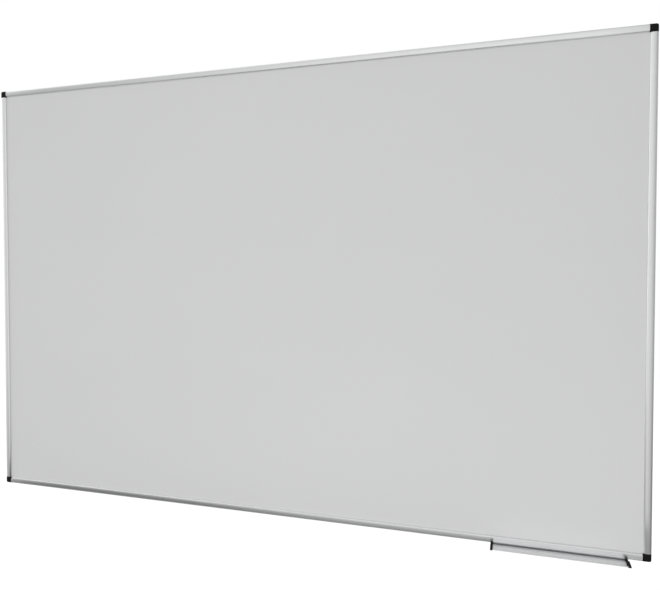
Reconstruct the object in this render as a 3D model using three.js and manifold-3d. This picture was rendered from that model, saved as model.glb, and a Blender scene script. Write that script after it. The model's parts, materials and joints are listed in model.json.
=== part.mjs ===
// A wall-hung magnetic whiteboard with a sliding pen tray, in millimetres.
// +X points to the viewer's right, +Z points up and the board faces -Y.
// The wall is the plane y = 0, and the origin lies on it, at the middle of the
// top rail's back face.
//
// Profiles are drawn in "depth" (distance from the wall) and "inset" (distance
// inward from the board's outer edge), so one rail section and one corner serve
// all four sides, each turned about Y to its place.

import * as THREE from 'three';
import { mergeVertices } from 'three/addons/utils/BufferGeometryUtils.js';
import Module from 'manifold-3d';

// Board
const boardWidth = 1800;
const boardHeight = 1200;

// Clearances
const fitGap = 0.3;
const cutOverrun = 1;

// Writing panel, from the front: enamelled steel, core board, backing steel
const writingSheetThickness = 0.5;
const coreThickness = 10.4;
const backSheetThickness = 0.3;
const glueLine = 0.1;
const panelEdgeGap = 0.5;

// Rail extrusion
const railDepth = 18;
const railFace = 17;
const railWall = 1.3;
const railWeb = 1;
const outerRound = 5;
const innerRound = 4;
const crownRadius = 30;
const chamberWidth = 7.9;
const legChamberDepth = 5.4;
const backRecess = 1.3;
const contactRib = 1.6;
const backLipThickness = 1.5;
const backLipReach = 4.5;

// Accessory groove in the outer face of the rail
const grooveMouth = 2.2;
const groovePocket = 4;
const grooveDepth = 1.9;

// Corner bracket
const cornerSize = 18.5;
const cornerRound = 5;
const flangeThickness = 1.2;
const legLength = 32;
const legTaper = 2;
const legScrewPlace = 22;
const legPocketLength = 11;
const legPocketWall = 1.4;
const legPocketStart = 3;
const towerTop = 13.4;
const wallHoleDiameter = 4.6;
const wallHeadDiameter = 7.4;
const wallHeadSeat = 10.8;
const wallHeadTaper = 1.6;

// Corner cover
const coverWall = 1.3;
const coverFront = 1.6;
const coverProud = 0.4;
const coverEdgeRound = 4.5;
const coverInnerRound = 2;
const coverPegDiameter = 3;
const coverPegTaper = 0.6;
const pegPlace = 13.8;
const pegTipDepth = 4.2;

// Screws that hold the bracket's legs in the rails
const screwDiameter = 2.9;
const screwLength = 5.4;
const screwPoint = 1.4;
const screwHeadDiameter = 5.6;
const screwHeadHeight = 1.1;
const screwHeadRound = 0.5;
const screwSeatGap = 0.1;
const crossWidth = 0.7;
const crossLength = 3;
const crossDepth = 0.7;

// Pen tray
const trayLength = 302;
const trayRightMargin = 48;
const trayReach = 40;
const trayDrop = 2.4;
const trayWall = 1.5;
const trayBendRadius = 40;
const trayBendAngle = Math.PI / 6;
const trayHeelDepth = 3;
const ribRootRound = 0.8;

// Tray end caps
const capLength = 5.5;
const capEnd = 2;
const capRim = 1.2;
const capRailGap = 0.6;
const capRiseStart = 1;
const capRiseRun = 16;

// Facets
const arcStep = Math.PI / 16;
const smallArcStep = Math.PI / 6;
const wideArcStep = Math.PI / 48;
const roundSides = 20;
const screwSides = 14;
const riseSteps = 8;
const panelGrid = 3;
const edgeRoundSteps = 6;
const repeatShare = 1e-3;
const quarter = Math.PI / 2;

// Depths and insets worked out from the sizes above
const panelThickness = writingSheetThickness + coreThickness + backSheetThickness + 2 * glueLine;
const slotBack = backLipThickness;
const slotFront = slotBack + panelThickness + 2 * fitGap;
const chamberEnd = railWall + chamberWidth;
const slotFloor = chamberEnd + railWall;
const backLipEnd = slotFloor + backLipReach;
const backRecessEnd = slotFloor - railWall;
const legChamberBack = backRecess + railWall;
const legChamberFront = legChamberBack + legChamberDepth;
const webFront = legChamberFront + railWeb;
const pocketFront = webFront + groovePocket;
const grooveCentre = webFront + groovePocket / 2;
const grooveFloor = railWall + grooveDepth;
const chamberMiddle = railWall + chamberWidth / 2;
const contactMiddle = (backRecessEnd + backLipEnd) / 2;
const coverTop = railDepth + coverProud;
const coverBack = flangeThickness + fitGap;
const armEnd = cornerSize - fitGap;
const armTop = legChamberFront + fitGap;
const bodyEdge = coverWall + fitGap;
const towerMiddle = (bodyEdge + slotFloor) / 2;

// Colours, as seen in soft daylight
const anodised = { color: 0xc9cacc, roughness: 0.35, metalness: 0.9 };
const enamel = { color: 0xcdcdcd, roughness: 0.25, metalness: 0 };
const galvanised = { color: 0xa9adb0, roughness: 0.5, metalness: 0.8 };
const coreFibre = { color: 0xa98f6d, roughness: 0.9, metalness: 0 };
const blackPlastic = { color: 0x161617, roughness: 0.5, metalness: 0 };
const zincPlate = { color: 0xb4b6b4, roughness: 0.35, metalness: 0.9 };

const wasm = await Module();
wasm.setup();

// A closed geometry as a solid that can be joined and cut
function solidOf(geometry) {
  geometry.deleteAttribute('normal');
  geometry.deleteAttribute('uv');
  const merged = mergeVertices(geometry);
  const vertProperties = Float32Array.from(merged.attributes.position.array);
  const corners = merged.index.array;
  const triangles = [];
  for (let i = 0; i < corners.length; i += 3) {
    const [a, b, c] = corners.slice(i, i + 3);
    if (a !== b && b !== c && c !== a) triangles.push(a, b, c);
  }
  const triVerts = Uint32Array.from(triangles);
  return new wasm.Manifold(new wasm.Mesh({ numProp: 3, vertProperties, triVerts }));
}

function geometryOf(solid) {
  const mesh = solid.getMesh();
  const geometry = new THREE.BufferGeometry();
  geometry.setAttribute('position', new THREE.BufferAttribute(mesh.vertProperties, 3));
  geometry.setIndex(new THREE.BufferAttribute(mesh.triVerts, 1));
  geometry.computeVertexNormals();
  return geometry;
}

function meshOf(name, geometry, look) {
  const mesh = new THREE.Mesh(geometry, new THREE.MeshStandardMaterial(look));
  mesh.name = name;
  return mesh;
}

// Points of an arc about a centre, both ends included
function arc(x, y, radius, from, to, step = arcStep) {
  const steps = Math.max(2, Math.ceil(Math.abs(to - from) / step));
  const points = [];
  for (let i = 0; i <= steps; i += 1) {
    const angle = from + ((to - from) * i) / steps;
    points.push([x + radius * Math.cos(angle), y + radius * Math.sin(angle)]);
  }
  return points;
}

// Pairs as the points of a closed outline, without repeats
function outline(pairs) {
  const points = pairs.map(([x, y]) => new THREE.Vector2(x, y));
  return points.filter((point, i) => {
    const before = points[(i + points.length - 1) % points.length];
    return point.distanceTo(before) > fitGap * repeatShare;
  });
}

function extrude(shape, length) {
  return new THREE.ExtrudeGeometry(shape, { depth: length, bevelEnabled: false });
}

// A flat outline given thickness between two depths
function slab(pairs, from, to) {
  const geometry = extrude(new THREE.Shape(outline(pairs)), to - from);
  return solidOf(geometry.translate(0, 0, from));
}

function slabBetween(pairs, one, other) {
  return slab(pairs, Math.min(one, other), Math.max(one, other));
}

function block(low, high) {
  const size = high.map((value, i) => value - low[i]);
  const geometry = new THREE.BoxGeometry(...size);
  return solidOf(geometry.translate(...low.map((value, i) => value + size[i] / 2)));
}

// A round bar or cone standing along the depth
function rod(x, y, from, to, startRadius, endRadius = startRadius) {
  const geometry = new THREE.CylinderGeometry(endRadius, startRadius, to - from, roundSides);
  return solidOf(geometry.rotateX(quarter).translate(x, y, (from + to) / 2));
}

// Sections are drawn in depth and inset or height, then laid with their length along X
const alongRail = new THREE.Matrix4().makeBasis(
  new THREE.Vector3(0, -1, 0),
  new THREE.Vector3(0, 0, 1),
  new THREE.Vector3(-1, 0, 0),
);

// Front of the rail: a crowned face that runs tangent into its two rounded edges
const crownMiddle = railFace / 2;
const crownBase = railDepth - crownRadius;
const innerRoundInset = railFace - innerRound;
const outerRoundDepth = roundingDepth(outerRound, outerRound);
const innerRoundDepth = roundingDepth(innerRoundInset, innerRound);
const crownFrom = Math.atan2(outerRound - crownMiddle, outerRoundDepth - crownBase);
const crownTo = Math.atan2(innerRoundInset - crownMiddle, innerRoundDepth - crownBase);

function roundingDepth(inset, radius) {
  return crownBase + Math.sqrt((crownRadius - radius) ** 2 - (inset - crownMiddle) ** 2);
}

function railOutline() {
  const mouthBack = grooveCentre - grooveMouth / 2;
  const mouthFront = grooveCentre + grooveMouth / 2;
  const floorAngle = Math.asin((slotFloor - crownMiddle) / (crownRadius - railWall));
  return [
    [0, 0],
    [mouthBack, 0],
    [mouthBack, railWall],
    [webFront, railWall],
    [webFront, grooveFloor],
    [pocketFront, grooveFloor],
    [pocketFront, railWall],
    [mouthFront, railWall],
    [mouthFront, 0],
    ...arc(outerRoundDepth, outerRound, outerRound, -quarter, crownFrom),
    ...arc(crownBase, crownMiddle, crownRadius, crownFrom, crownTo, wideArcStep),
    ...arc(innerRoundDepth, innerRoundInset, innerRound, crownTo, quarter),
    [slotFront, railFace],
    [slotFront, railFace - railWall],
    ...arc(innerRoundDepth, innerRoundInset, innerRound - railWall, quarter, crownTo),
    ...arc(crownBase, crownMiddle, crownRadius - railWall, crownTo, floorAngle, wideArcStep),
    [slotBack, slotFloor],
    [slotBack, backLipEnd],
    [0, backLipEnd],
    [0, backRecessEnd],
    [backRecess, backRecessEnd],
    [backRecess, contactRib],
    [0, contactRib],
  ];
}

function legChamberOutline() {
  return [
    [legChamberBack, railWall],
    [legChamberFront, railWall],
    [legChamberFront, chamberEnd],
    [legChamberBack, chamberEnd],
  ];
}

// The front chamber wraps round the groove's pocket and follows the rail's face
function frontChamberOutline() {
  const notch = pocketFront + railWeb;
  const skinRadius = outerRound - railWall;
  const notchAngle = -Math.acos(Math.max(0, (notch - outerRoundDepth) / skinRadius));
  const wallAngle = Math.asin((chamberEnd - crownMiddle) / (crownRadius - railWall));
  return [
    [webFront, grooveFloor + railWeb],
    [notch, grooveFloor + railWeb],
    [notch, outerRound + skinRadius * Math.sin(notchAngle)],
    ...arc(outerRoundDepth, outerRound, skinRadius, notchAngle, crownFrom),
    ...arc(crownBase, crownMiddle, crownRadius - railWall, crownFrom, wallAngle, wideArcStep),
    [webFront, chamberEnd],
  ];
}

// One rail, drawn as the bottom one: inset runs up, depth runs to the front
function railGeometry(length) {
  const shape = new THREE.Shape(outline(railOutline()));
  for (const hole of [legChamberOutline(), frontChamberOutline()]) {
    shape.holes.push(new THREE.Path(outline(hole)));
  }
  const geometry = extrude(shape, length).translate(0, 0, -length / 2);
  let rail = solidOf(geometry);
  const radius = screwDiameter / 2 + fitGap;
  for (const side of [-1, 1]) {
    const place = side * (length / 2 - legScrewPlace);
    const drill = new THREE.CylinderGeometry(radius, radius, legChamberBack + cutOverrun, roundSides);
    drill.rotateZ(quarter);
    drill.translate((legChamberBack + cutOverrun) / 2, chamberMiddle, place);
    rail = rail.subtract(solidOf(drill));
  }
  return geometryOf(rail).applyMatrix4(alongRail);
}

function addRails(board) {
  const level = boardWidth - 2 * cornerSize;
  const tall = boardHeight - 2 * cornerSize;
  const rails = [
    { name: 'bottom_rail', length: level, turn: 0, x: 0, z: 0 },
    { name: 'left_rail', length: tall, turn: quarter, x: -boardWidth / 2, z: boardHeight / 2 },
    { name: 'top_rail', length: level, turn: 2 * quarter, x: 0, z: boardHeight },
    { name: 'right_rail', length: tall, turn: -quarter, x: boardWidth / 2, z: boardHeight / 2 },
  ];
  for (const { name, length, turn, x, z } of rails) {
    const rail = meshOf(name, railGeometry(length), anodised);
    rail.rotation.y = turn;
    rail.position.set(x, 0, z);
    board.add(rail);
  }
}

// Three flat layers in the rails' slots. The grid makes the middle of each face
// a face of its own, clear of the rails' lips.
function addPanel(board) {
  const width = boardWidth - 2 * (slotFloor + panelEdgeGap);
  const height = boardHeight - 2 * (slotFloor + panelEdgeGap);
  const layers = [
    ['back_sheet', backSheetThickness, galvanised],
    ['core_board', coreThickness, coreFibre],
    ['writing_sheet', writingSheetThickness, enamel],
  ];
  let depth = slotBack + fitGap;
  for (const [name, thickness, look] of layers) {
    const geometry = new THREE.BoxGeometry(width, thickness, height, panelGrid, 1, panelGrid);
    const layer = meshOf(name, geometry, look);
    layer.position.set(0, -(depth + thickness / 2), boardHeight / 2);
    board.add(layer);
    depth += thickness + glueLine;
  }
}

// Corner pieces are drawn for the bottom left corner, in inset from the side,
// inset from the bottom, and depth. They are alike across the corner's diagonal.
const towardsFront = new THREE.Matrix4().makeRotationX(quarter);

function acrossDiagonal(solid) {
  const swap = new THREE.Matrix4().makeBasis(
    new THREE.Vector3(0, 1, 0),
    new THREE.Vector3(1, 0, 0),
    new THREE.Vector3(0, 0, 1),
  );
  return solid.transform(swap.elements);
}

function bothWays(solid) {
  return solid.add(acrossDiagonal(solid));
}

// An L round the panel's corner, with the outer corner rounded
function cornerOutline(edge, end, round) {
  return [
    ...arc(edge + round, edge + round, round, 2 * quarter, 3 * quarter),
    [end, edge],
    [end, slotFloor],
    [slotFloor, slotFloor],
    [slotFloor, end],
    [edge, end],
  ];
}

// A leg that fills the rail's back chamber, with a tapered tip, a moulded pocket
// and a pilot hole for its screw
function bracketLeg() {
  const low = railWall + fitGap;
  const high = chamberEnd - fitGap;
  const back = legChamberBack + fitGap;
  const front = legChamberFront - fitGap;
  const tip = cornerSize + legLength;
  const bar = slab([
    [slotFloor - cutOverrun, low],
    [tip - legTaper, low],
    [tip, low + legTaper],
    [tip, high - legTaper],
    [tip - legTaper, high],
    [slotFloor - cutOverrun, high],
  ], back, front);
  const pocketStart = cornerSize + legPocketStart;
  const pocket = block(
    [pocketStart, low + legPocketWall, back + legPocketWall],
    [pocketStart + legPocketLength, high - legPocketWall, front + cutOverrun],
  );
  return bar.subtract(pocket);
}

function bracketGeometry() {
  const flange = slab(cornerOutline(0, armEnd, cornerRound), 0, flangeThickness);
  const bodyRound = Math.max(cornerRound - bodyEdge, fitGap);
  const arms = slab(cornerOutline(bodyEdge, armEnd, bodyRound), flangeThickness / 2, armTop);
  const tower = slab([
    ...arc(bodyEdge + bodyRound, bodyEdge + bodyRound, bodyRound, 2 * quarter, 3 * quarter),
    [slotFloor, bodyEdge],
    [slotFloor, slotFloor],
    [bodyEdge, slotFloor],
  ], flangeThickness, towerTop);
  let bracket = flange.add(arms).add(tower).add(bothWays(bracketLeg()));
  const hole = wallHoleDiameter / 2;
  const head = wallHeadDiameter / 2;
  bracket = bracket
    .subtract(rod(towerMiddle, towerMiddle, -cutOverrun, towerTop, hole))
    .subtract(rod(towerMiddle, towerMiddle, wallHeadSeat - wallHeadTaper, wallHeadSeat, hole, head))
    .subtract(rod(towerMiddle, towerMiddle, wallHeadSeat, towerTop + cutOverrun, head));
  const socketRadius = coverPegDiameter / 2 + fitGap;
  const socket = rod(pegPlace, chamberMiddle, pegTipDepth - fitGap, armTop + cutOverrun, socketRadius);
  const pilotRadius = screwDiameter / 2 + fitGap;
  const pilotEnd = legChamberFront;
  const pilot = rod(cornerSize + legScrewPlace, chamberMiddle, legChamberBack, pilotEnd, pilotRadius);
  bracket = bracket.subtract(bothWays(socket)).subtract(bothWays(pilot));
  return geometryOf(bracket).applyMatrix4(towardsFront);
}

// The outer form of a cover, or of the hollow inside it. The outer sides, the front
// and the corner between them are rounded, and the inner sides run on past the cover.
function coverForm(inset, front) {
  const beyond = 2 * cornerSize;
  const plan = new THREE.Shape(outline([
    ...arc(cornerRound, cornerRound, cornerRound - inset, 2 * quarter, 3 * quarter),
    [beyond, inset],
    [beyond, beyond],
    [inset, beyond],
  ]));
  const edgeRound = coverEdgeRound - inset;
  const form = new THREE.ExtrudeGeometry(plan, {
    depth: front,
    bevelEnabled: true,
    bevelThickness: edgeRound,
    bevelSize: edgeRound,
    bevelOffset: -edgeRound,
    bevelSegments: edgeRoundSteps,
  });
  return solidOf(form.translate(0, 0, -edgeRound));
}

// The inner sides of a cover, or of the hollow inside it, with the corner rounded
function coverInnerSides(inset, from) {
  const end = cornerSize - inset;
  const round = coverInnerRound - inset;
  return slab([
    [-cutOverrun, -cutOverrun],
    [end, -cutOverrun],
    ...arc(end - round, end - round, round, 0, quarter),
    [-cutOverrun, end],
  ], from, coverTop + cutOverrun);
}

// A square shell over the corner. Its two outer walls reach back to the bracket's
// flange, and its two inner walls close the rails' ends and come down to the
// writing sheet at the panel's corner.
function coverGeometry() {
  const beyond = cornerSize + cutOverrun;
  const plateBack = coverTop - coverFront;
  const hollow = coverForm(coverWall, plateBack);
  const armSpace = block([-cutOverrun, -cutOverrun, -cutOverrun], [beyond, beyond, armTop + fitGap]);
  const cover = coverForm(0, coverTop)
    .intersect(coverInnerSides(0, coverBack))
    .subtract(hollow.intersect(coverInnerSides(coverWall, -cutOverrun)))
    .subtract(hollow.intersect(armSpace))
    .subtract(block([slotFloor, slotFloor, -cutOverrun], [beyond, beyond, slotFront]));
  const radius = coverPegDiameter / 2;
  const pegTip = rod(
    pegPlace, chamberMiddle, pegTipDepth, pegTipDepth + coverPegTaper, radius - coverPegTaper, radius,
  );
  const peg = rod(pegPlace, chamberMiddle, pegTipDepth + coverPegTaper, plateBack + coverFront / 2, radius);
  return geometryOf(cover.add(bothWays(peg.add(pegTip)))).applyMatrix4(towardsFront);
}

// A pan-head screw with a cross recess, head to the wall
function screwGeometry() {
  const head = screwHeadDiameter / 2;
  const shank = screwDiameter / 2;
  const headBack = backRecess - screwSeatGap - screwHeadHeight;
  const headFront = backRecess - screwSeatGap;
  const profile = [
    new THREE.Vector2(0, headBack),
    ...arc(head - screwHeadRound, headBack + screwHeadRound, screwHeadRound, -quarter, 0, smallArcStep)
      .map(([x, y]) => new THREE.Vector2(x, y)),
    new THREE.Vector2(head, headFront),
    new THREE.Vector2(shank, headFront),
    new THREE.Vector2(shank, headFront + screwLength - screwPoint),
    new THREE.Vector2(0, headFront + screwLength),
  ];
  const turned = new THREE.LatheGeometry(profile, screwSides).rotateX(quarter);
  let screw = solidOf(turned);
  for (const [x, y] of [[crossLength, crossWidth], [crossWidth, crossLength]]) {
    screw = screw.subtract(block(
      [-x / 2, -y / 2, headBack - cutOverrun],
      [x / 2, y / 2, headBack + crossDepth],
    ));
  }
  return geometryOf(screw).applyMatrix4(towardsFront);
}

function addCorners(board) {
  const corners = [
    { name: 'bottom_left', turn: 0, x: -1, top: 0, legs: ['level', 'upright'] },
    { name: 'bottom_right', turn: -quarter, x: 1, top: 0, legs: ['upright', 'level'] },
    { name: 'top_right', turn: 2 * quarter, x: 1, top: 1, legs: ['level', 'upright'] },
    { name: 'top_left', turn: quarter, x: -1, top: 1, legs: ['upright', 'level'] },
  ];
  const screwPlaces = [
    [cornerSize + legScrewPlace, chamberMiddle],
    [chamberMiddle, cornerSize + legScrewPlace],
  ];
  for (const { name, turn, x, top, legs } of corners) {
    const corner = new THREE.Group();
    corner.position.set((x * boardWidth) / 2, 0, top * boardHeight);
    corner.rotation.y = turn;
    corner.add(meshOf(`corner_bracket_${name}`, bracketGeometry(), blackPlastic));
    corner.add(meshOf(`corner_cover_${name}`, coverGeometry(), blackPlastic));
    screwPlaces.forEach(([side, up], i) => {
      const screw = meshOf(`rail_screw_${name}_${legs[i]}`, screwGeometry(), zincPlate);
      screw.position.set(side, 0, up);
      corner.add(screw);
    });
    board.add(corner);
  }
}

// Tray section in depth and height, grown all round by a clearance. The T-shaped
// rib hangs in the rail's groove and the heel bears up against the rail behind it.
// The floor rises to the front in a wide bend and ends in a rounded tip.
const trayFloorTop = -trayDrop;
const trayUnderside = trayFloorTop - trayWall;
const bendMiddle = trayBendRadius - trayWall / 2;
const tipDepth = railDepth + trayReach - trayWall / 2;
const bendDepth = tipDepth - bendMiddle * Math.sin(trayBendAngle);
const bendHeight = trayUnderside + trayBendRadius;
const tipHeight = bendHeight - bendMiddle * Math.cos(trayBendAngle);
const bendEnd = trayBendAngle - quarter;

function trayOutline(grow) {
  const over = trayFloorTop + grow;
  const heelBack = trayHeelDepth - grow;
  const heelFront = trayHeelDepth + trayWall + grow;
  const heelTop = -fitGap + grow;
  const ribHalf = grooveMouth / 2 - fitGap + grow;
  const headHalf = groovePocket / 2 - fitGap + grow;
  const headLow = railWall + fitGap - grow;
  const headHigh = grooveFloor - fitGap + grow;
  return [
    [heelBack, trayUnderside - grow],
    ...arc(bendDepth, bendHeight, trayBendRadius + grow, -quarter, bendEnd, wideArcStep),
    ...arc(tipDepth, tipHeight, trayWall / 2 + grow, bendEnd, bendEnd + 2 * quarter, smallArcStep),
    ...arc(bendDepth, bendHeight, trayBendRadius - trayWall - grow, bendEnd, -quarter, wideArcStep),
    [grooveCentre + ribHalf + ribRootRound, over],
    [grooveCentre + ribHalf, over + ribRootRound],
    [grooveCentre + ribHalf, headLow],
    [grooveCentre + headHalf, headLow],
    [grooveCentre + headHalf, headHigh],
    [grooveCentre - headHalf, headHigh],
    [grooveCentre - headHalf, headLow],
    [grooveCentre - ribHalf, headLow],
    [grooveCentre - ribHalf, over + ribRootRound],
    [grooveCentre - ribHalf - ribRootRound, over],
    [heelFront, over],
    [heelFront, heelTop],
    [heelBack, heelTop],
  ];
}

// Side view of an end cap: low under the rail, then rising in front of it to
// stand a little above the tray's tip
function capOutline() {
  const top = tipHeight + trayWall / 2 + capRim;
  const low = -capRailGap;
  const back = trayHeelDepth - capRim;
  const riseStart = railDepth + capRiseStart;
  const rise = [];
  for (let i = riseSteps; i >= 0; i -= 1) {
    const share = i / riseSteps;
    const height = low + ((top - low) * (1 - Math.cos(Math.PI * share))) / 2;
    rise.push([riseStart + capRiseRun * share, height]);
  }
  return [
    [back, trayUnderside - capRim],
    ...arc(bendDepth, bendHeight, trayBendRadius + capRim, -quarter, bendEnd, wideArcStep),
    ...arc(tipDepth, tipHeight, trayWall / 2 + capRim, bendEnd, quarter, smallArcStep),
    ...rise,
    [back, low],
  ];
}

function addTray(board) {
  const tray = new THREE.Group();
  tray.position.x = boardWidth / 2 - trayRightMargin - trayLength / 2;
  const profileLength = trayLength - 2 * (capEnd + fitGap);
  const profile = extrude(new THREE.Shape(outline(trayOutline(0))), profileLength);
  profile.translate(0, 0, -profileLength / 2).applyMatrix4(alongRail);
  tray.add(meshOf('pen_tray', profile, anodised));
  for (const [name, end] of [['tray_end_cap_left', 1], ['tray_end_cap_right', -1]]) {
    const outer = (end * trayLength) / 2;
    const inner = outer - end * capLength;
    const socketEnd = outer - end * capEnd;
    const plate = slabBetween(capOutline(), outer, inner);
    const socket = slabBetween(trayOutline(fitGap), socketEnd, inner - end * cutOverrun);
    const geometry = geometryOf(plate.subtract(socket)).applyMatrix4(alongRail);
    tray.add(meshOf(name, geometry, blackPlastic));
  }
  board.add(tray);
}

const board = new THREE.Group();
addPanel(board);
addRails(board);
addCorners(board);
addTray(board);
board.position.z = contactMiddle - boardHeight;

const whiteboard = new THREE.Group();
whiteboard.add(board);

export default whiteboard;
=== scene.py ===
"""The looks of a wall-hung magnetic whiteboard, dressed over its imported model.

Metres, +Z up. The wall is the plane y = 0 and the board faces -Y.
"""

import json
import math

import bpy
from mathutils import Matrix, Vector


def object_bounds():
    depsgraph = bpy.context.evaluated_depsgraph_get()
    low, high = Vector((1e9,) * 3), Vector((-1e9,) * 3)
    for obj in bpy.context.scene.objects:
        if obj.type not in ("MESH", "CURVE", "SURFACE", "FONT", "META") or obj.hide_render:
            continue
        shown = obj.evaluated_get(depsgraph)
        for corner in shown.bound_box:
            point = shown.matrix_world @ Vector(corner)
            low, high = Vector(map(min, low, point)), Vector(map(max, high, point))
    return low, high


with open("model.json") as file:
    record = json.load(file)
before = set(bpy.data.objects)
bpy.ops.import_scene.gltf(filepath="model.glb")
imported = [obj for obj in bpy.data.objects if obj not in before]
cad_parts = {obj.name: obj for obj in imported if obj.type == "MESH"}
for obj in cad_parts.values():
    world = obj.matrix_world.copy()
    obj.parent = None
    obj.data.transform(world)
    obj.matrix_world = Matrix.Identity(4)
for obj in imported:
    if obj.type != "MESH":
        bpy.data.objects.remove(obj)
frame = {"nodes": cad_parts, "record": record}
cad_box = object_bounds()

MM = 0.001

# Photograph, in pixels
FRAME_WIDTH = 660
FRAME_HEIGHT = 590
PRINCIPAL_ROW = 285.7
FOCAL_PIXELS = 602.1

# Camera, found from the frame's outer edges and the corner covers in the photograph
CAMERA_PLACE = (0.589, -1.5028, -0.53)
CAMERA_TURN_LEFT = math.radians(16.594)
CAMERA_DIP = math.radians(1.514)
CAMERA_NEAREST = 0.02
SENSOR_WIDTH_MM = 36.0

# Studio floor
FLOOR_BELOW_BOARD = 0.9
FLOOR_SIZE = 16.0
FLOOR_GREY = 0.95
FLOOR_GLOW = 0.35

# Soft light all round: brightness by a direction's height, and by its turn to the right in degrees
SKY_STRENGTH = 1.1
SKY_BY_HEIGHT = (
    (-1.0, 0.35),
    (-0.75, 0.25),
    (-0.5, 0.2),
    (-0.3, 0.42),
    (-0.1, 0.75),
    (0.1, 0.82),
    (0.65, 0.68),
    (1.0, 0.74),
)
SKY_BY_TURN = (
    (-180, 1.1),
    (-135, 1.2),
    (-100, 1.75),
    (-62, 1.45),
    (-44, 0.8),
    (0, 0.8),
    (50, 0.5),
    (90, 0.5),
    (180, 1.1),
)

# White card in front of the board, behind the camera: brightness across and upwards
CARD_DISTANCE = 2.6
CARD_STRENGTH = 1.1
CARD_ACROSS = (
    (-3.4, 0.46),
    (-2.8, 0.58),
    (-1.6, 0.83),
    (-0.5, 0.98),
    (0.6, 1.04),
    (1.2, 0.88),
    (1.8, 0.6),
    (2.4, 0.45),
    (3.2, 0.4),
)
CARD_UPWARDS = (
    (-3.2, 0.5),
    (-2.3, 0.58),
    (-1.9, 0.66),
    (-1.2, 0.78),
    (0.4, 0.82),
    (1.8, 0.8),
)

# White card from the front one back towards the wall, right of the board: its end, brightness across
SIDE_CARD_DISTANCE = 0.6
SIDE_CARD_ACROSS = (
    (1.0, 0.95),
    (1.02, 0.86),
    (1.045, 0.72),
    (1.08, 0.7),
)

# Dark flag lying under the bottom rail and in front of it: brightness across
FLAG_DROP = 0.026
FLAG_NEAR = 0.06
FLAG_FAR = 0.32
FLAG_ACROSS = (
    (-0.95, 0.06),
    (-0.3, 0.1),
    (0.1, 0.24),
    (0.53, 0.28),
    (0.95, 0.34),
)

# Softbox that lifts the lower half of the board
FILL_PLACE = (0.3, -2.4, -1.6)
FILL_TARGET = (0.1, 0, -1.0)
FILL_SIZE = (3, 0.6)
FILL_POWER = 13.2

# Dark and light tone of each material
ENAMEL_TONES = (0.8, 0.802, 0.803), (0.82, 0.822, 0.823)
CORE_TONES = (0.3, 0.2, 0.11), (0.5, 0.37, 0.23)
GALVANISED_TONES = (0.53, 0.54, 0.55), (0.59, 0.6, 0.605)
RAIL_TONES = (0.84, 0.845, 0.85), (0.88, 0.885, 0.89)
# The tray's tones are lighter than the rails' of the same aluminium: painted light that brightens its
# floor
TRAY_TONES = (0.955, 0.96, 0.965), (0.98, 0.985, 0.99)
BRACKET_TONES = (0.03, 0.03, 0.03), (0.04, 0.04, 0.04)
COVER_TONES = (0.006, 0.006, 0.006), (0.01, 0.01, 0.01)
ZINC_TONES = (0.6, 0.62, 0.64), (0.72, 0.71, 0.66)

# Finish of the plastics, the rails and the tray
BRACKET_ROUGHNESS = 0.6
COVER_ROUGHNESS = 0.7
ROUGHNESS_SPREAD = 0.06
RAIL_METALLIC = 1.0
TRAY_METALLIC = 0.92

# Drawn lines of an extrusion, per metre across and along it
LINES_ACROSS = 1400.0
LINES_ALONG = 3.0
ALONG_X = 0
ALONG_Z = 2

# Raggedness of the zinc crystals' edges
CRYSTAL_SHIFT = 6 * MM

# Painted shade, darkening the tray's colour in its gap to the rail: its reach, how open a place is at its
# darkest and at its end
TRAY_GAP_REACH = 6 * MM
GAP_CLOSED = 0.15
GAP_OPEN = 0.7
GAP_DARKEST = 0.24

# Softened edges
FINE_EDGE = 0.15 * MM
EDGES = {"galvanised": 0.1 * MM, "bracket_plastic": 0.2 * MM, "cover_plastic": 0.3 * MM}
EDGE_ANGLE = math.radians(32)
EDGE_SEGMENTS = 2
FLAT_ANGLE = math.radians(0.5)
WELD_DISTANCE = 0.002 * MM


def make_camera():
    data = bpy.data.cameras.new("camera")
    data.sensor_fit = "HORIZONTAL"
    data.sensor_width = SENSOR_WIDTH_MM
    data.lens = FOCAL_PIXELS * SENSOR_WIDTH_MM / FRAME_WIDTH
    data.shift_y = (PRINCIPAL_ROW - FRAME_HEIGHT / 2) / FRAME_WIDTH
    data.clip_start = CAMERA_NEAREST
    camera = bpy.data.objects.new("camera", data)
    camera.location = CAMERA_PLACE
    camera.rotation_euler = (math.pi / 2 - CAMERA_DIP, 0, CAMERA_TURN_LEFT)
    bpy.context.scene.collection.objects.link(camera)
    bpy.context.scene.camera = camera


class Graph:
    """Short calls for building a node tree."""

    def __init__(self, tree):
        self.tree = tree
        tree.nodes.clear()

    def add(self, kind, inputs=None, **settings):
        """A new node, its inputs given by name or number as values or as sockets to link."""
        node = self.tree.nodes.new(kind)
        for name, value in settings.items():
            setattr(node, name, value)
        for name, value in (inputs or {}).items():
            socket = node.inputs[name]
            if isinstance(value, bpy.types.NodeSocket):
                self.tree.links.new(value, socket)
            else:
                socket.default_value = value
        return node


def new_material(name):
    material = bpy.data.materials.new(name)
    material.use_nodes = True
    return material, Graph(material.node_tree)


def finish_material(graph, shader):
    graph.add("ShaderNodeOutputMaterial", {"Surface": shader.outputs["BSDF"]})


def grey(value):
    return (value, value, value, 1.0)


def times(graph, one, other):
    return graph.add("ShaderNodeMath", {0: one, 1: other}, operation="MULTIPLY").outputs[0]


def object_position(graph, stretch=(1, 1, 1)):
    """Object position with each axis scaled, so that a noise can run along one of them."""
    position = graph.add("ShaderNodeTexCoord").outputs["Object"]
    return graph.add("ShaderNodeMapping", {"Vector": position, "Scale": stretch}).outputs["Vector"]


def noise(graph, vector, scale, detail=2.0, roughness=0.5):
    inputs = {"Vector": vector, "Scale": scale, "Detail": detail, "Roughness": roughness}
    return graph.add("ShaderNodeTexNoise", inputs).outputs["Fac"]


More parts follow.
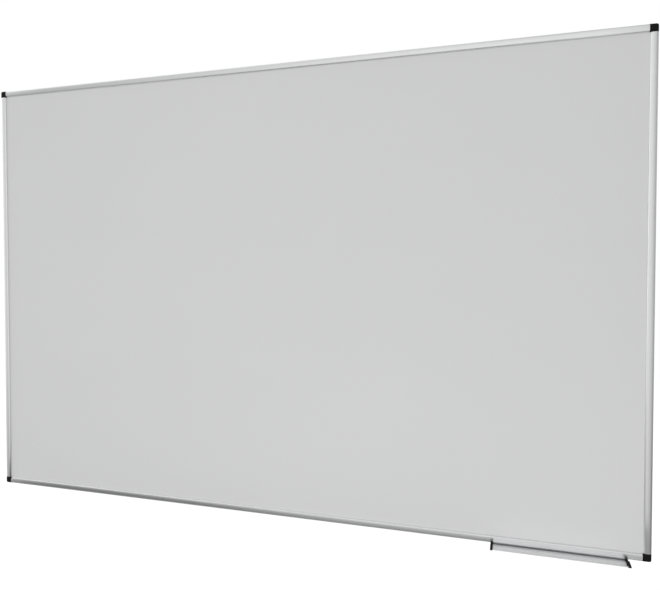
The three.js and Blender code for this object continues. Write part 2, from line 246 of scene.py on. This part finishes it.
def spread(graph, value, low, high, start=0.3, end=0.7):
    """A value between start and end carried to low and high. The defaults suit a noise."""
    inputs = {"Value": value, "From Min": start, "From Max": end, "To Min": low, "To Max": high}
    return graph.add("ShaderNodeMapRange", inputs).outputs["Result"]


def tint(graph, value, tones):
    """A colour between a dark and a light tone, by a value from 0 to 1."""
    dark, light = tones
    node = graph.add("ShaderNodeMix", data_type="RGBA")
    graph.tree.links.new(value, node.inputs["Factor"])
    node.inputs["A"].default_value = (*dark, 1)
    node.inputs["B"].default_value = (*light, 1)
    return node.outputs["Result"]


def bump(graph, height, distance, strength=1.0, normal=None):
    inputs = {"Height": height, "Distance": distance, "Strength": strength}
    if normal is not None:
        inputs["Normal"] = normal
    return graph.add("ShaderNodeBump", inputs).outputs["Normal"]


def ends(stops):
    """The first and the last place of (place, brightness) stops."""
    return stops[0][0], stops[-1][0]


def ramp_over(graph, value, stops):
    """A brightness that runs through (place, brightness) stops as the value goes from end to end."""
    low, high = ends(stops)
    ramp = graph.add("ShaderNodeValToRGB", {"Fac": spread(graph, value, 0, 1, low, high)})
    elements = ramp.color_ramp.elements
    while len(elements) > 1:
        elements.remove(elements[-1])
    elements[0].position = 0
    elements[0].color = grey(stops[0][1])
    for place, brightness in stops[1:]:
        elements.new((place - low) / (high - low)).color = grey(brightness)
    return ramp.outputs["Color"]


def enamel_material():
    """Vitreous enamel: an almost flat gloss with the orange peel of the fired glass."""
    material, graph = new_material("enamel")
    position = object_position(graph)
    peel = noise(graph, position, scale=420, detail=3)
    waves = noise(graph, position, scale=5)
    haze = noise(graph, object_position(graph, stretch=(1, 1, 2.5)), scale=2.2, detail=4)
    waved = bump(graph, waves, distance=0.15 * MM)
    shader = graph.add("ShaderNodeBsdfPrincipled", {
        "Base Color": tint(graph, haze, ENAMEL_TONES),
        "Roughness": spread(graph, haze, low=0.3, high=0.36),
        "IOR": 1.5,
        "Normal": bump(graph, peel, distance=0.01 * MM, strength=0.5, normal=waved),
    })
    finish_material(graph, shader)
    return material


def with_painted_gap_shade(graph, colour, reach):
    """A colour with painted shade: darker where another surface stands within reach."""
    openness = graph.add("ShaderNodeAmbientOcclusion", {"Distance": reach}).outputs["AO"]
    shade = spread(graph, openness, GAP_DARKEST, 1.0, GAP_CLOSED, GAP_OPEN)
    shaded = graph.add("ShaderNodeVectorMath", {"Vector": colour, "Scale": shade}, operation="SCALE")
    return shaded.outputs["Vector"]


def anodised_material(name, along, tones, metallic=RAIL_METALLIC, gap_reach=None):
    """Satin anodised aluminium with the drawn lines of an extrusion along one axis, and painted shade in
    gaps when a reach is given.
    """
    material, graph = new_material(name)
    stretch = [LINES_ACROSS] * 3
    stretch[along] = LINES_ALONG
    lines = noise(graph, object_position(graph, stretch), scale=1)
    cloud = noise(graph, object_position(graph), scale=14, detail=3)
    direction = [0.0] * 3
    direction[along] = 1.0
    tangent = graph.add("ShaderNodeCombineXYZ", dict(zip("XYZ", direction)))
    colour = tint(graph, cloud, tones)
    shader = graph.add("ShaderNodeBsdfPrincipled", {
        # Painted shade darkens the colour in gaps when a reach is given
        "Base Color": with_painted_gap_shade(graph, colour, gap_reach) if gap_reach else colour,
        "Metallic": metallic,
        "Roughness": spread(graph, lines, low=0.26, high=0.31),
        "Anisotropic": 0.9,
        "Anisotropic Rotation": 0.25,
        "Tangent": tangent.outputs["Vector"],
        "Normal": bump(graph, lines, distance=0.004 * MM, strength=0.6),
    })
    finish_material(graph, shader)
    return material


def plastic_material(name, tones, roughness):
    """Black moulded plastic with a fine spark-eroded grain."""
    material, graph = new_material(name)
    position = object_position(graph)
    grain = noise(graph, position, scale=2000, roughness=0.6)
    cloud = noise(graph, position, scale=90, detail=3)
    smoothest = roughness - ROUGHNESS_SPREAD
    roughest = roughness + ROUGHNESS_SPREAD
    shader = graph.add("ShaderNodeBsdfPrincipled", {
        "Base Color": tint(graph, cloud, tones),
        "Roughness": spread(graph, grain, smoothest, roughest),
        "IOR": 1.26,
        "Normal": bump(graph, grain, distance=0.05 * MM, strength=0.8),
    })
    finish_material(graph, shader)
    return material


def galvanised_material():
    """Dull zinc-coated sheet with its faint spangle of crystals."""
    material, graph = new_material("galvanised")
    position = object_position(graph)
    frost = graph.add("ShaderNodeTexNoise", {"Vector": position, "Scale": 350.0}).outputs["Color"]
    shift = graph.add("ShaderNodeVectorMath", {"Vector": frost, "Scale": CRYSTAL_SHIFT}, operation="SCALE")
    ragged = graph.add("ShaderNodeVectorMath", {0: position, 1: shift.outputs["Vector"]})
    cells = graph.add("ShaderNodeTexVoronoi", {"Vector": ragged.outputs["Vector"], "Scale": 110.0})
    shade = graph.add("ShaderNodeRGBToBW", {"Color": cells.outputs["Color"]}).outputs["Val"]
    haze = noise(graph, position, scale=6, detail=4)
    shader = graph.add("ShaderNodeBsdfPrincipled", {
        "Base Color": tint(graph, shade, GALVANISED_TONES),
        "Metallic": 1.0,
        "Roughness": spread(graph, haze, low=0.42, high=0.55),
        "Normal": bump(graph, shade, distance=0.01 * MM, strength=0.4),
    })
    finish_material(graph, shader)
    return material


def core_material():
    """Raw fibre board."""
    material, graph = new_material("core")
    fibres = noise(graph, object_position(graph, stretch=(1, 3, 1)), scale=700, detail=4, roughness=0.7)
    shader = graph.add("ShaderNodeBsdfPrincipled", {
        "Base Color": tint(graph, fibres, CORE_TONES),
        "Roughness": 0.9,
        "Normal": bump(graph, fibres, distance=0.1 * MM),
    })
    finish_material(graph, shader)
    return material


def zinc_material():
    """Bright zinc plate, slightly cloudy."""
    material, graph = new_material("zinc")
    cloud = noise(graph, object_position(graph), scale=500, detail=3)
    shader = graph.add("ShaderNodeBsdfPrincipled", {
        "Base Color": tint(graph, cloud, ZINC_TONES),
        "Metallic": 1.0,
        "Roughness": spread(graph, cloud, low=0.25, high=0.4),
        "Normal": bump(graph, cloud, distance=0.01 * MM),
    })
    finish_material(graph, shader)
    return material


def refine(node, edge):
    """Joins a node's faces, takes the sharpness off its edges and shades its curves smooth."""
    weld = node.modifiers.new("weld", "WELD")
    weld.merge_threshold = WELD_DISTANCE
    planar = node.modifiers.new("planar", "DECIMATE")
    planar.decimate_type = "DISSOLVE"
    planar.angle_limit = FLAT_ANGLE
    bevel = node.modifiers.new("edge", "BEVEL")
    bevel.width = edge
    bevel.segments = EDGE_SEGMENTS
    bevel.use_clamp_overlap = False
    bevel.limit_method = "ANGLE"
    bevel.angle_limit = EDGE_ANGLE
    node.data.shade_smooth()
    node.modifiers.new("shading", "WEIGHTED_NORMAL")


def dress_nodes():
    upright = anodised_material("anodised_upright", ALONG_Z, RAIL_TONES)
    # The tray's aluminium is a lighter copy of the rails' (painted light), with painted shade in its gap
    # to the rail
    tray = anodised_material("anodised_tray", ALONG_X, TRAY_TONES, TRAY_METALLIC, TRAY_GAP_REACH)
    by_node = {"left_rail": upright, "right_rail": upright, "pen_tray": tray}
    by_slot = {
        "enamel": enamel_material(),
        "core": core_material(),
        "galvanised": galvanised_material(),
        "anodised": anodised_material("anodised", ALONG_X, RAIL_TONES),
        "bracket_plastic": plastic_material("bracket_plastic", BRACKET_TONES, BRACKET_ROUGHNESS),
        "cover_plastic": plastic_material("cover_plastic", COVER_TONES, COVER_ROUGHNESS),
        "zinc": zinc_material(),
    }
    for part in frame["record"]["subparts"]:
        name, slot = part["node"], part["material_slot"]
        node = frame["nodes"][name]
        node.data.materials.clear()
        node.data.materials.append(by_node.get(name, by_slot[slot]))
        refine(node, EDGES.get(slot, FINE_EDGE))


def make_sheet(name, corners, material):
    """A flat four-cornered sheet that belongs to the studio."""
    mesh = bpy.data.meshes.new(name)
    mesh.from_pydata(corners, [], [(0, 1, 2, 3)])
    mesh.materials.append(material)
    sheet = bpy.data.objects.new(name, mesh)
    bpy.context.scene.collection.objects.link(sheet)
    return sheet


def rectangle(left, right, low, high):
    """The corners of a rectangle in two coordinates, in order round it."""
    return (left, low), (left, high), (right, high), (right, low)


def make_floor():
    material, graph = new_material("floor")
    shader = graph.add("ShaderNodeBsdfPrincipled", {
        "Base Color": grey(FLOOR_GREY),
        "Roughness": 1.0,
        "Specular IOR Level": 0.0,
        "Emission Color": grey(1.0),
        "Emission Strength": FLOOR_GLOW,
    })
    finish_material(graph, shader)
    reach = FLOOR_SIZE / 2
    level = cad_box[0].z - FLOOR_BELOW_BOARD
    corners = [
        (-reach, -reach, level),
        (reach, -reach, level),
        (reach, reach, level),
        (-reach, reach, level),
    ]
    floor = make_sheet("floor", corners, material)
    floor.visible_diffuse = False
    floor.visible_glossy = False


def make_card(name, corners, across, upwards=None):
    """A glowing card that the camera doesn't see, its brightness running through stops."""
    material, graph = new_material(name)
    position = graph.add("ShaderNodeTexCoord").outputs["Object"]
    place = graph.add("ShaderNodeSeparateXYZ", {"Vector": position}).outputs
    shade = ramp_over(graph, place["X"], across)
    if upwards:
        shade = times(graph, shade, ramp_over(graph, place["Z"], upwards))
    strength = times(graph, shade, CARD_STRENGTH)
    glow = graph.add("ShaderNodeEmission", {"Color": grey(1.0), "Strength": strength})
    graph.add("ShaderNodeOutputMaterial", {"Surface": glow.outputs["Emission"]})
    card = make_sheet(name, corners, material)
    card.visible_camera = False
    return card


def show_in_mirrors_only(card):
    card.visible_diffuse = False
    card.visible_shadow = False


def make_cards():
    low, high = ends(CARD_UPWARDS)
    corners = [(x, -CARD_DISTANCE, z) for x, z in rectangle(*ends(CARD_ACROSS), low, high)]
    make_card("card", corners, CARD_ACROSS, CARD_UPWARDS)

    front, back = ends(SIDE_CARD_ACROSS)
    corners = [
        (front, -CARD_DISTANCE, low),
        (back, -SIDE_CARD_DISTANCE, low),
        (back, -SIDE_CARD_DISTANCE, high),
        (front, -CARD_DISTANCE, high),
    ]
    show_in_mirrors_only(make_card("side_card", corners, SIDE_CARD_ACROSS))

    level = cad_box[0].z - FLAG_DROP
    corners = [(x, -y, level) for x, y in rectangle(*ends(FLAG_ACROSS), FLAG_NEAR, FLAG_FAR)]
    show_in_mirrors_only(make_card("flag", corners, FLAG_ACROSS))


def make_sky():
    """Light from all directions, while the camera itself sees plain white."""
    world = bpy.data.worlds.new("studio")
    world.use_nodes = True
    bpy.context.scene.world = world
    graph = Graph(world.node_tree)
    direction = graph.add("ShaderNodeTexCoord").outputs["Generated"]
    parts = graph.add("ShaderNodeSeparateXYZ", {"Vector": direction}).outputs
    forwards = times(graph, parts["Y"], -1.0)
    turn = graph.add("ShaderNodeMath", {0: parts["X"], 1: forwards}, operation="ARCTAN2").outputs[0]
    by_height = ramp_over(graph, parts["Z"], SKY_BY_HEIGHT)
    by_turn = ramp_over(graph, turn, [(math.radians(angle), shade) for angle, shade in SKY_BY_TURN])
    strength = times(graph, times(graph, by_height, by_turn), SKY_STRENGTH)
    soft = graph.add("ShaderNodeBackground", {"Color": grey(1.0), "Strength": strength})
    plain = graph.add("ShaderNodeBackground", {"Color": grey(1.0), "Strength": 1.0})
    mixed = graph.add("ShaderNodeMixShader", {
        "Fac": graph.add("ShaderNodeLightPath").outputs["Is Camera Ray"],
        1: soft.outputs["Background"],
        2: plain.outputs["Background"],
    })
    graph.add("ShaderNodeOutputWorld", {"Surface": mixed.outputs["Shader"]})


def make_low_fill():
    data = bpy.data.lights.new("low_fill", "AREA")
    data.shape = "RECTANGLE"
    data.size, data.size_y = FILL_SIZE
    data.energy = FILL_POWER
    light = bpy.data.objects.new("low_fill", data)
    light.location = FILL_PLACE
    direction = Vector(FILL_TARGET) - Vector(FILL_PLACE)
    light.rotation_euler = direction.to_track_quat("-Z", "Y").to_euler()
    light.visible_camera = False
    light.visible_glossy = False
    bpy.context.scene.collection.objects.link(light)


def main():
    bpy.context.scene.view_settings.view_transform = "Standard"
    make_camera()
    dress_nodes()
    make_floor()
    make_sky()
    make_low_fill()
    make_cards()


main()
